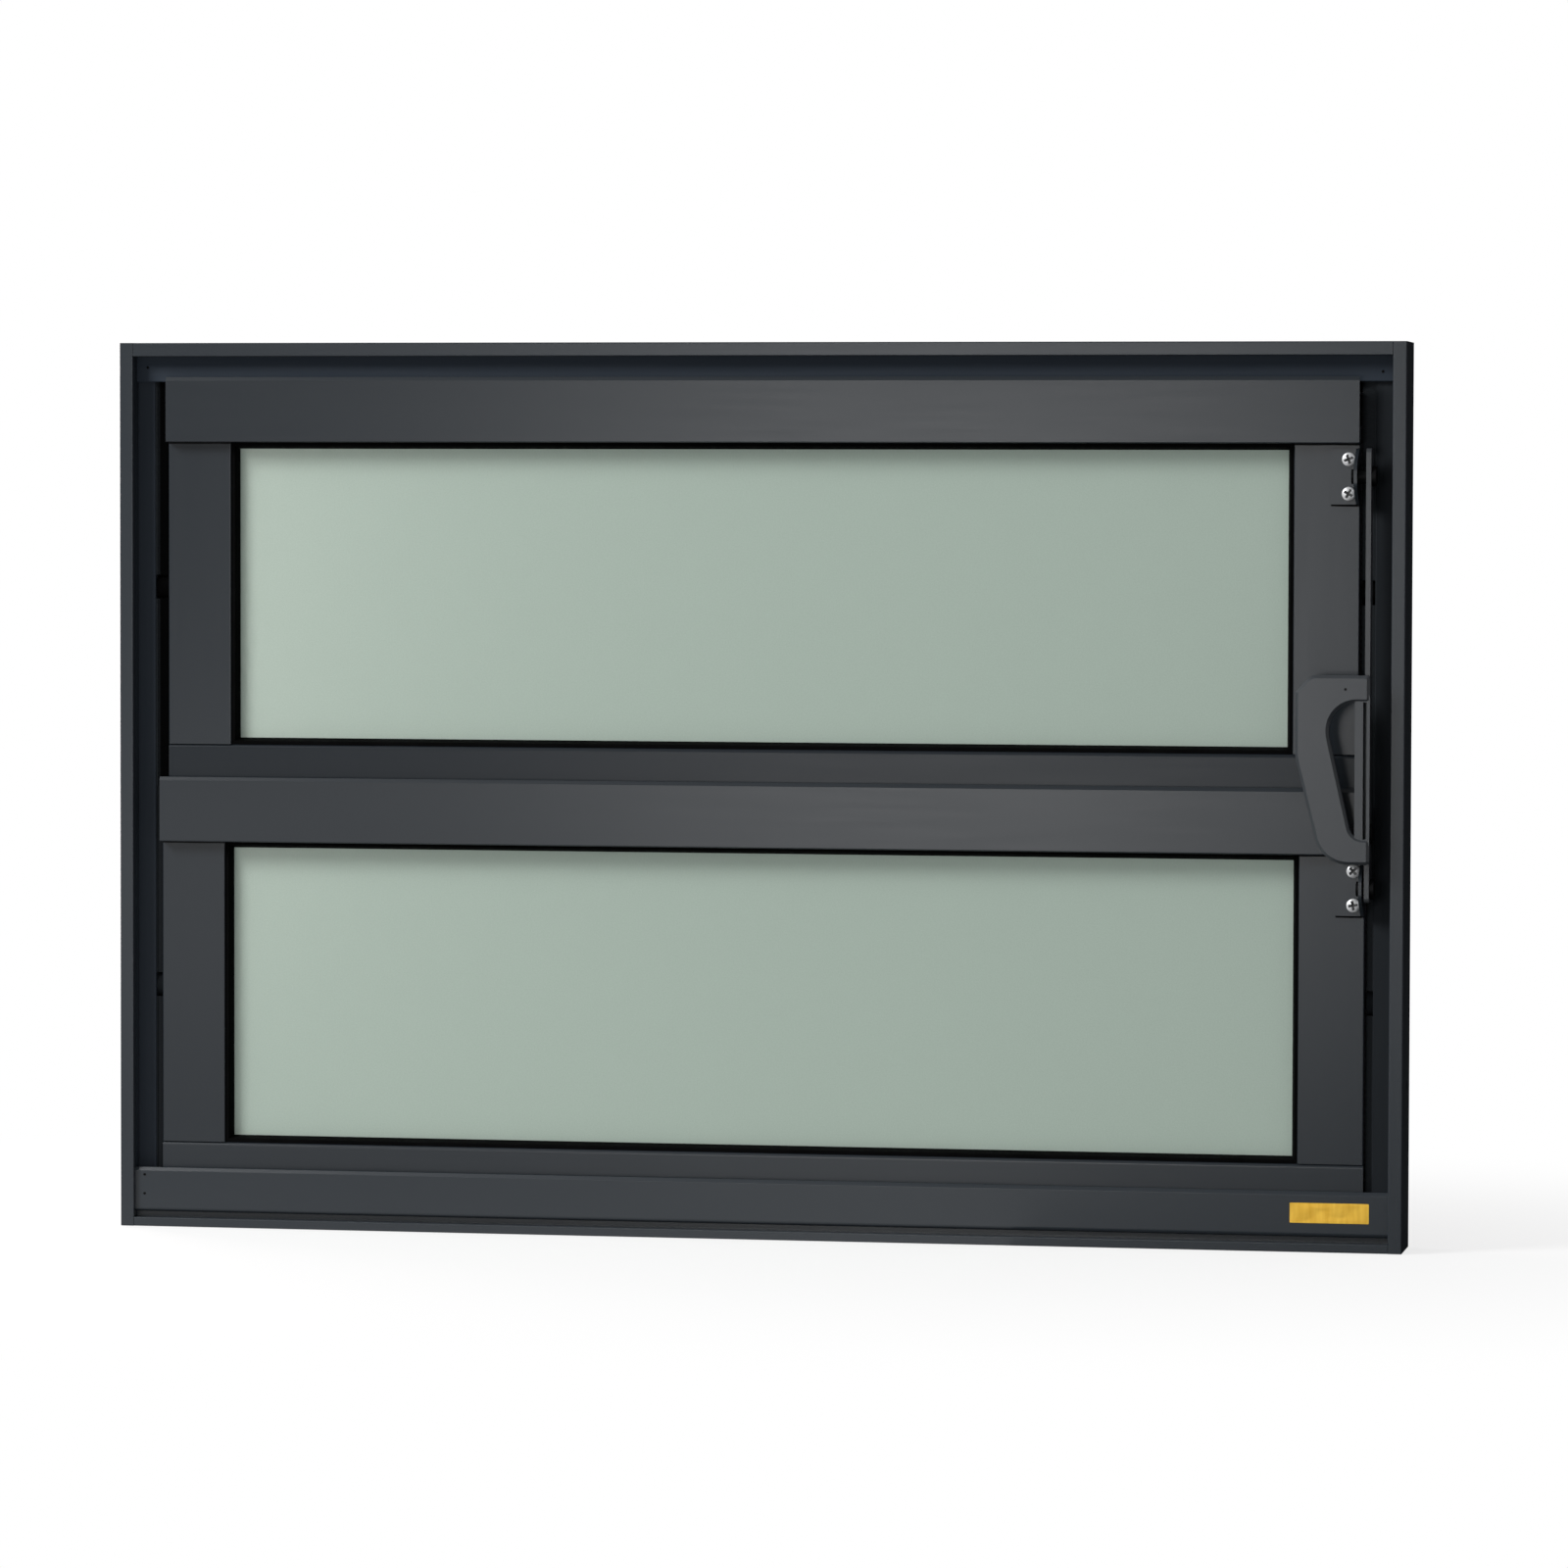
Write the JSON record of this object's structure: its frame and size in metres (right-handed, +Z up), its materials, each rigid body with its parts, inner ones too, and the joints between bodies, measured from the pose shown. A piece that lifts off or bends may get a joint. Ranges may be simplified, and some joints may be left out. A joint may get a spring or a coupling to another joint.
{
  "type": "centre pivot window",
  "caption": "Aluminium window whose framed satin-glass sashes tilt together on mid-height pivots, tied by a side link bar and pulled open by a flat D-shaped handle.",
  "frame": {"origin": "middle of the sill's flat underside, at mid-depth of the frame", "axes": "+X to the right as seen from the room, +Y outdoors, +Z up"},
  "size_m": [0.8, 0.059, 0.55],
  "materials": {
    "frame_paint": "charcoal powder coat, satin",
    "sash_paint": "charcoal powder coat, satin",
    "handle_paint": "charcoal powder coat, satin",
    "satin_glass": "frosted, pale green-grey",
    "gasket_rubber": "matte black",
    "zinc_steel": "bright zinc",
    "black_steel": "black",
    "nylon": "matte black"
  },
  "bodies": {
    "frame": {"left_jamb": "frame_paint", "right_jamb": "frame_paint", "head": "frame_paint", "sill": "frame_paint", "upper_pivot_bushes": "nylon", "lower_pivot_bushes": "nylon"},
    "upper_sash": {"upper_top_rail": "sash_paint", "upper_bottom_rail": "sash_paint", "upper_left_stile": "sash_paint", "upper_right_stile": "sash_paint", "upper_gasket": "gasket_rubber", "upper_glass": "satin_glass", "upper_pivot_pins": "zinc_steel", "upper_bracket": "sash_paint", "upper_link_pin": "black_steel"},
    "lower_sash": {"lower_top_rail": "sash_paint", "lower_bottom_rail": "sash_paint", "lower_left_stile": "sash_paint", "lower_right_stile": "sash_paint", "lower_gasket": "gasket_rubber", "lower_glass": "satin_glass", "lower_pivot_pins": "zinc_steel", "lower_bracket": "sash_paint", "lower_link_pin": "black_steel", "pull_handle": "handle_paint"},
    "link": {"link_bar": "handle_paint"}
  },
  "joints": [
    {"name": "upper_sash_pivot", "type": "hinge", "parent": "frame", "child": "upper_sash", "pos_m": [0, -0.0005, 0.39868], "axis": [1, 0, 0], "range_deg": [0, 60]},
    {"name": "lower_sash_pivot", "type": "hinge", "parent": "frame", "child": "lower_sash", "pos_m": [0, -0.0005, 0.15032], "axis": [1, 0, 0], "range_deg": [0, 60]},
    {"name": "link_bar_pivot", "type": "hinge", "parent": "upper_sash", "child": "link", "pos_m": [0.377, -0.0225, 0.4687], "axis": [1, 0, 0], "range_deg": [-60, 0]}
  ],
  "couplings": [
    {"joint": "lower_sash_pivot", "follows": "upper_sash_pivot", "ratio": 1},
    {"joint": "link_bar_pivot", "follows": "upper_sash_pivot", "ratio": -1}
  ]
}
